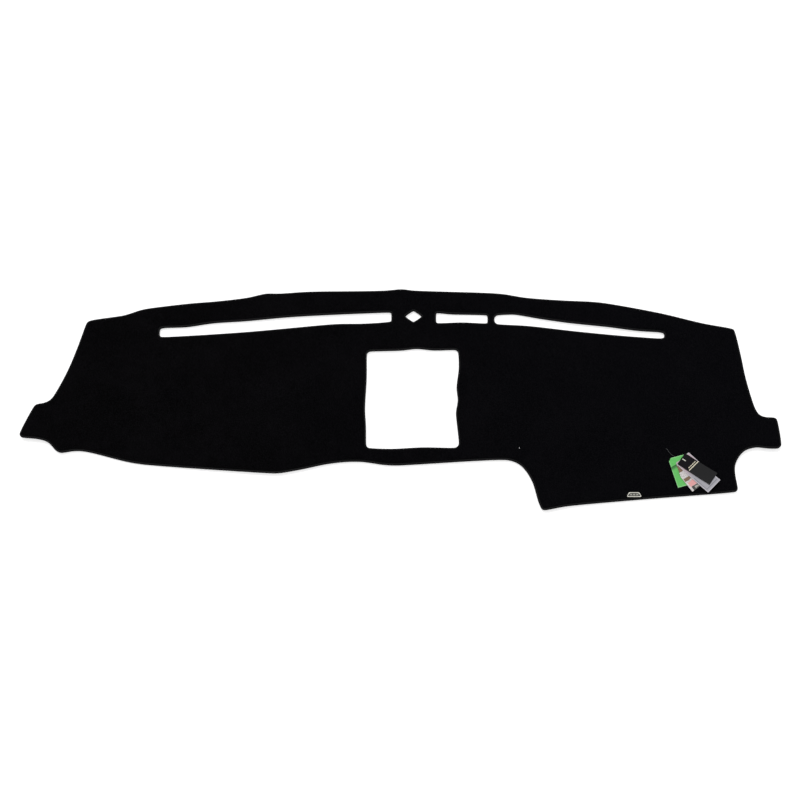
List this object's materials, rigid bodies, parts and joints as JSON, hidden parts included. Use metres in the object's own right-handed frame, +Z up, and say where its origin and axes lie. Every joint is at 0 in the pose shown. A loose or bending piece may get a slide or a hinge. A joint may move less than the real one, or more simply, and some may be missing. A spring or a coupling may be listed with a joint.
{
  "type": "dashboard cover mat",
  "caption": "Flat carpet cover for a pickup truck's dashboard, with oversewn edges, defroster slots, a screen opening, a small badge and swing tags on a nylon pin.",
  "frame": {"origin": "the middle of the mat's box in plan, on its underside", "axes": "+X along the dashboard to the right, +Y to the windscreen edge, +Z up, out of the pile"},
  "size_m": [1.5502, 0.4778, 0.0081],
  "materials": {
    "carpet": "short dense black pile",
    "thread": "black overlock yarn",
    "badge_metal": "cast, satin, dark recesses",
    "nylon": "thin moulded nylon",
    "green_card": "coated card, plain green",
    "printed_card": "coated card, fields of brown, white and pink",
    "grey_card": "silver grey card",
    "black_card": "matt black card with two cream bands"
  },
  "bodies": {
    "root": {"carpet_sheet": "carpet", "outer_edge_thread": "thread", "left_slot_thread": "thread", "centre_slot_thread": "thread", "right_slot_thread": "thread", "centre_opening_thread": "thread", "sensor_hole_thread": "thread", "badge": "badge_metal", "tag_pin": "nylon", "green_tag": "green_card", "printed_tag": "printed_card", "grey_tag": "grey_card", "black_tag": "black_card"}
  },
  "joints": []
}
